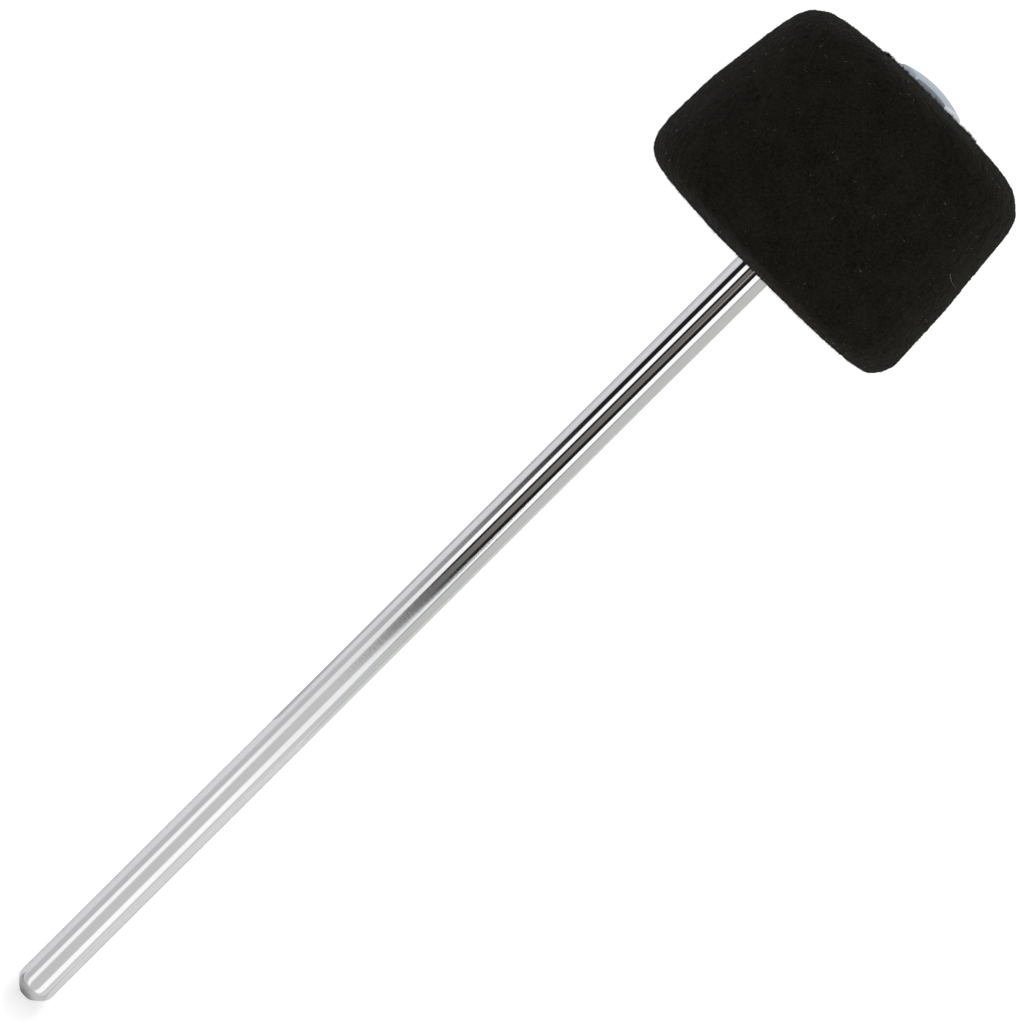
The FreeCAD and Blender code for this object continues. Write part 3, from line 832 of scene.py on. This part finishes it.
def wool(name, dark, light, tip, bump_depth, sheen):
    """Dyed wool: two shades in tufts, a third on single fibres, almost no gloss and a little sheen."""
    finish, tree = empty_material(name)
    uneven = use_group(tree, uneven_wool)
    base = blend_colours(tree, uneven["Tuft"], dark, light)
    flecked = blend_colours(tree, share_of(tree, uneven["Fibre"], FIBRE_SHARE), base, tip)
    place = object_place(tree)
    # Brownish towards the rim of the underside.
    low = rescale(tree, place["X"], *RIM_BROWN_FROM, RIM_BROWN_SHARE, 0.0)
    across = put(tree, "ShaderNodeCombineXYZ", {"Y": place["Y"], "Z": place["Z"]}).outputs[0]
    radius = put(tree, "ShaderNodeVectorMath", {0: across}, operation="LENGTH").outputs["Value"]
    brown_rim = maths(tree, "MULTIPLY", low, rescale(tree, radius, *RIM_BROWN_RADIUS))
    rim_browned = blend_colours(tree, brown_rim, flecked, RIM_BROWN)
    bump = put(tree, "ShaderNodeBump",
               {"Height": uneven["Height"], "Strength": 1.0, "Distance": bump_depth})
    cloth = put(tree, "ShaderNodeBsdfPrincipled",
                {"Base Color": rim_browned, "Roughness": 0.95, "Specular IOR Level": 0.03, "Sheen Weight": sheen,
                 "Sheen Roughness": 0.4, "Sheen Tint": SHEEN_TINT, "Normal": bump.outputs[0]})
    put(tree, "ShaderNodeOutputMaterial", {"Surface": cloth.outputs[0]})
    print(name, "made")
    return finish


black_felt = wool("black_felt", SOOT, ASH, BROWN_BLACK, bump_depth=0.00015, sheen=0.05)
nap_wool = wool("nap_wool", SOOT, ASH, ASH, bump_depth=0.00001, sheen=0.01)
felt = new_piece("felt_head_skin", felt_points, felt_faces, black_felt)
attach(felt, "beater")
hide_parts("felt_head")

# %% [markdown]
# ## The nap
# Pressed felt always has a short nap: fibres that stand just off the skin and blur its outline.
# Blender's hair system could grow it, but hair isn't kept as a mesh, and this outline should be.
# So each fibre is a thin bent spike with three sides, rooted just under the skin.
# The dice that scatters them is seeded. At the lips of both recesses the cut felt frays into a fringe.

# %% Fibre helper
ASKEW = (0.31, 0.77, 0.56)
TAPER = 0.75


def fibre_bundle(name, paths, radii, finish):
    """One mesh of thin three-sided fibres. Each path is a row of points, and it tapers to its end."""
    points, faces = [], []
    for path, radius in zip(paths, radii):
        path = np.asarray(path)
        heading = path[-1] - path[0]
        heading = heading / np.linalg.norm(heading)
        side = np.cross(heading, ASKEW)
        side /= np.linalg.norm(side)
        other = np.cross(heading, side)
        start = len(points)
        last = len(path) - 1
        for i in range(last):
            thick = radius * (1 - TAPER * i / last)
            for k in range(3):
                angle = 2 * math.pi * k / 3
                points.append(path[i] + thick * (side * math.cos(angle) + other * math.sin(angle)))
        points.append(path[last])
        faces.append((start + 2, start + 1, start))
        for i in range(last - 1):
            a = start + 3 * i
            faces += [(a + k, a + (k + 1) % 3, a + 3 + (k + 1) % 3, a + 3 + k) for k in range(3)]
        a = start + 3 * (last - 1)
        faces += [(a + k, a + (k + 1) % 3, start + 3 * last) for k in range(3)]
    return new_piece(name, points, faces, finish)


def skin_spots(dice, count, first, last):
    """Random places on the outer skin between two outline points, even by area: points and normals."""
    rows = np.arange(first, last - 1)
    lengths = np.linalg.norm(shape[rows + 1] - shape[rows], axis=1)
    areas = lengths * shape[rows, 1]
    picked = dice.choice(rows, size=count, p=areas / areas.sum())
    columns = dice.integers(0, FELT_SIDES, size=count)
    beside = (columns + 1) % FELT_SIDES
    a, b = dice.random((2, count, 1))
    corner = felt_points[picked * FELT_SIDES + columns]
    along_row = felt_points[picked * FELT_SIDES + beside] - corner
    along_column = felt_points[(picked + 1) * FELT_SIDES + columns] - corner
    return corner + a * along_row + b * along_column, skin_normals[picked * FELT_SIDES + columns]


print("fibre helper ready")

# %% Standing nap
NAP_SEED = 11
NAP_COUNT = 16000
NAP_MM = (0.22, 0.7)
NAP_THICK_MM = 0.024
STUB_MM = 0.42
STUB_THICKER = 2.5
ROOT_MM = 0.06
LONG_CHANCE = 0.03
LONG_FACTOR = 1.9
NAP_LEAN = 0.75
LEAST_RISE = 0.15
MENDED_RISE = 0.25
NAP_BEND = 0.35
TIP_BEND = 0.6
NAP_OVERLAP = 2

dice = np.random.default_rng(NAP_SEED)
spots, normals = skin_spots(dice, NAP_COUNT, first_outer - NAP_OVERLAP, last_outer + NAP_OVERLAP)
lean = dice.normal(size=(NAP_COUNT, 3))
lengths = dice.uniform(*NAP_MM, size=NAP_COUNT) * MM
long_ones = dice.random(NAP_COUNT) < LONG_CHANCE
lengths[long_ones] *= LONG_FACTOR
paths = []
for spot, normal, drift, length in zip(spots, normals, lean, lengths):
    rise = normal + NAP_LEAN * drift
    rise /= np.linalg.norm(rise)
    if rise @ normal < LEAST_RISE:
        rise = rise + (MENDED_RISE - rise @ normal) * normal
    bend = np.cross(normal, drift) * NAP_BEND
    paths.append([spot - normal * ROOT_MM * MM, spot + 0.5 * length * rise,
                  spot + length * (rise + bend * TIP_BEND)])
radii = np.full(NAP_COUNT, NAP_THICK_MM * MM)
radii[lengths < STUB_MM * MM] *= STUB_THICKER
print("stubs among the nap:", int((lengths < STUB_MM * MM).sum()))

# %% Fringe on the lips of both recesses
LIP_ROWS = 5
LIP_LEAN = 0.4
LIP_BEND = 0.2
# Each lip: its rows of the skin, the way its fibres lean, how many, how long and how much thicker.
LIPS = ((first_outer - NAP_OVERLAP, first_outer + LIP_ROWS, -1.0, 250, (0.1, 0.28), 1.0),
        (last_outer - LIP_ROWS, last_outer + NAP_OVERLAP, 1.0, 950, (0.36, 0.86), 2.0))

for first, last, way, count, span, thicker in LIPS:
    spots, normals = skin_spots(dice, count, first, last)
    drifts = dice.normal(size=(count, 3))
    lengths = dice.uniform(*span, size=count) * MM
    for spot, normal, drift, length in zip(spots, normals, drifts, lengths):
        rise = normal + LIP_LEAN * drift + LIP_LEAN * way * ALONG_ROD
        rise /= np.linalg.norm(rise)
        tip = spot + length * rise + LIP_BEND * length * np.cross(rise, drift)
        paths.append([spot - normal * ROOT_MM * MM, spot + 0.5 * length * rise, tip])
    radii = np.concatenate([radii, np.full(count, thicker * NAP_THICK_MM * MM)])
nap = fibre_bundle("felt_nap", paths, radii, nap_wool)
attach(nap, "beater")

# %% [markdown]
# ## Lint
# Black felt collects pale lint, and under a bright lamp each thread shows.
# There are short curls, one long hair, and dust.
# They lie on the nap rather than in it, so we let each one run along the skin with a random bend.

# %% Pale lint and dust
LINT_SEED = 23
LINT_COUNT = 130
DUST_COUNT = 650
LINT_MM = (0.3, 1.1)
LINT_THICK_MM = 0.026
DUST_MM = (0.07, 0.17)
LINT_CURL = 3.0
LINT_SHARES = (0.5, 1.0)
HAIR_LIFT_MM = 0.05
HAIR_ARCH_MM = 0.1
DUST_ROOT_MM = 0.02
DUST_WIDTH_SHARE = 0.35
# The long hair: its place, the direction of the skin there, its own direction and its size.
LONG_HAIR_SPOT = np.array([0.0253, -0.0285, 0.0142])
LONG_HAIR_NORMAL = np.array([0.0, -0.895, 0.445])
LONG_HAIR_WAY = np.array([-0.13, -0.44, -0.89])
LONG_HAIR_MM = 7.5
LONG_HAIR_CURL = 0.6
LONG_HAIR_THICK_MM = 0.028
LINT_PALE = (0.5, 0.5, 0.5, 1.0)
LINT_GREY = (0.16, 0.16, 0.17, 1.0)


def lint_finish(name):
    """Pale wool, uneven from thread to thread."""
    finish, tree = empty_material(name)
    uneven = use_group(tree, uneven_wool, Tufts_per_metre=160.0)
    shade = blend_colours(tree, uneven["Tuft"], LINT_GREY, LINT_PALE)
    cloth = put(tree, "ShaderNodeBsdfPrincipled",
                {"Base Color": shade, "Roughness": 0.9, "Specular IOR Level": 0.1})
    put(tree, "ShaderNodeOutputMaterial", {"Surface": cloth.outputs[0]})
    return finish


def lying_hair(spot, normal, heading, length, curl, steps=7):
    """A hair that lies on the skin at spot and curls as it goes."""
    along = heading - (heading @ normal) * normal
    along /= np.linalg.norm(along)
    across = np.cross(normal, along)
    found = []
    for i in range(steps):
        t = i / (steps - 1)
        swing = curl * (t - 0.5)
        place = spot + length * ((t - 0.5) * along + 0.5 * swing * (t - 0.5) * across)
        found.append(place + normal * (HAIR_LIFT_MM + HAIR_ARCH_MM * math.sin(math.pi * t)) * MM)
    return found


pale_lint = lint_finish("pale_lint")
dice = np.random.default_rng(LINT_SEED)
spots, normals = skin_spots(dice, LINT_COUNT, first_outer, last_outer)
headings = dice.normal(size=(LINT_COUNT, 3))
lengths = dice.uniform(*LINT_MM, size=LINT_COUNT) * MM
curls = dice.normal(scale=LINT_CURL, size=LINT_COUNT)
hairs = [lying_hair(*each) for each in zip(spots, normals, headings, lengths, curls)]
radii = list(dice.uniform(*LINT_SHARES, size=LINT_COUNT) * LINT_THICK_MM * MM)
spots, normals = skin_spots(dice, DUST_COUNT, first_outer, last_outer)
grains = dice.uniform(*DUST_MM, size=DUST_COUNT) * MM
for spot, normal, grain in zip(spots, normals, grains):
    hairs.append([spot - normal * DUST_ROOT_MM * MM, spot + normal * 0.5 * grain, spot + normal * grain])
    radii.append(DUST_WIDTH_SHARE * grain)
hairs.append(lying_hair(LONG_HAIR_SPOT, LONG_HAIR_NORMAL, LONG_HAIR_WAY, LONG_HAIR_MM * MM, LONG_HAIR_CURL))
radii.append(LONG_HAIR_THICK_MM * MM)
lint = fibre_bundle("felt_lint", hairs, radii, pale_lint)
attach(lint, "beater")

# %% [markdown]
# ## The cap nut
# The head is clamped by a cap nut: a hexagon with a low dome, which stands two millimetres above the felt.
# A sharp hexagon looks like a drawing.
# On a real nut the dome meets each flat in an arc, and every edge is a little round.
# So we build it from rings whose radius follows a softened hexagon.
# They run from the blind bore over the collar and the flats to the top of the dome.

# %% Domed hexagon
NUT_SIDES = 216
HALF_FLATS = 7.0
SOFTNESS = 40
NUT_FOOT = 39.2
NUT_TOP = 50.0
DOME_RADIUS = 22.0
BORE_CLEAR = 4.03
BORE_END = 47.0
COLLAR_OUT = 5.5
COLLAR_END = 37.95
NUT_SHARP = 50
# Blind bore, then the collar with its turned lip: radius of each ring and its place along the rod.
BORE_RINGS = ((2.0, 46.99), (BORE_CLEAR - 0.1, 46.95), (BORE_CLEAR, 46.8), (BORE_CLEAR, 43.0),
              (BORE_CLEAR, COLLAR_END + 0.4), (BORE_CLEAR + 0.35, COLLAR_END))
COLLAR_RINGS = ((COLLAR_OUT + 0.1, COLLAR_END), (COLLAR_OUT + 0.25, COLLAR_END + 0.17),
                (COLLAR_OUT, COLLAR_END + 0.35), (COLLAR_OUT, NUT_FOOT - 0.05),
                (COLLAR_OUT + 0.05, NUT_FOOT), (6.2, NUT_FOOT))
# Lower edge of the hexagon: how far each ring lies inside the flats, and how far above the foot.
FOOT_EDGE = ((0.42, 0.0), (0.36, 0.02), (0.04, 0.3), (0.0, 0.42))
FLAT_ROWS = (42.0, 45.0, 47.0)
# Rounded top edge: how far each ring lies inside the flats, and how far below the dome.
ROUND_EDGE = ((0.0, 0.36), (0.01, 0.27), (0.035, 0.19), (0.08, 0.12), (0.14, 0.065), (0.21, 0.03),
              (0.3, 0.01), (0.4, 0.0))
CROWN_SHARES = np.linspace(0.93, 0.05, 20)

angles = np.arange(NUT_SIDES) * (2 * math.pi / NUT_SIDES)
facings = [np.maximum(np.cos(angles - k * math.pi / 3), 0.0) ** SOFTNESS for k in range(6)]
hexagon = HALF_FLATS / sum(facings) ** (1 / SOFTNESS)


def dome(radii):
    """Place of the dome's skin along the rod, at these distances from the axis."""
    return NUT_TOP - (DOME_RADIUS - np.sqrt(DOME_RADIUS ** 2 - np.asarray(radii) ** 2))


def nut_ring(radii, x):
    """A ring of the nut: radii and heights may change round it."""
    spread = np.broadcast_to(radii, NUT_SIDES)
    heights = np.broadcast_to(x, NUT_SIDES)
    return np.column_stack([heights, spread * np.sin(angles), spread * np.cos(angles)]) * MM


rings = [np.array([[BORE_END * MM, 0.0, 0.0]])]
rings += [nut_ring(r, x) for r, x in BORE_RINGS + COLLAR_RINGS]
rings += [nut_ring(hexagon - inset, NUT_FOOT + rise) for inset, rise in FOOT_EDGE]
rings += [nut_ring(hexagon, x) for x in FLAT_ROWS]
for inset, drop in ROUND_EDGE:
    rings.append(nut_ring(hexagon - inset, dome(hexagon - inset) - drop))
crown = hexagon - ROUND_EDGE[-1][0]
for share in CROWN_SHARES:
    rings.append(nut_ring(crown * share, dome(crown * share)))
rings.append(np.array([[NUT_TOP * MM, 0.0, 0.0]]))
points, faces = joined_rings(rings)
nut = new_piece("domed_cap_nut", points, faces, nut_chrome, sharp=NUT_SHARP)
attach(nut, "cap_nut")
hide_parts("cap_nut")

# %% [markdown]
# ## The hidden hardware
# Under the cap nut lies a toothed lock washer on a flat washer.
# Under the felt lie another washer, a split spring washer and a thin nut.
# Their shapes come from the engineering model as they are, and only need a finish.

# %% Zinc plate on the model's own pieces
for node in ("captive_lock_washer", "upper_washer", "lower_washer", "lower_spring_washer", "lower_nut"):
    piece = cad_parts[node]
    piece.data.materials.clear()
    piece.data.materials.append(zinc_plate)
    print(node, "is zinc plated")
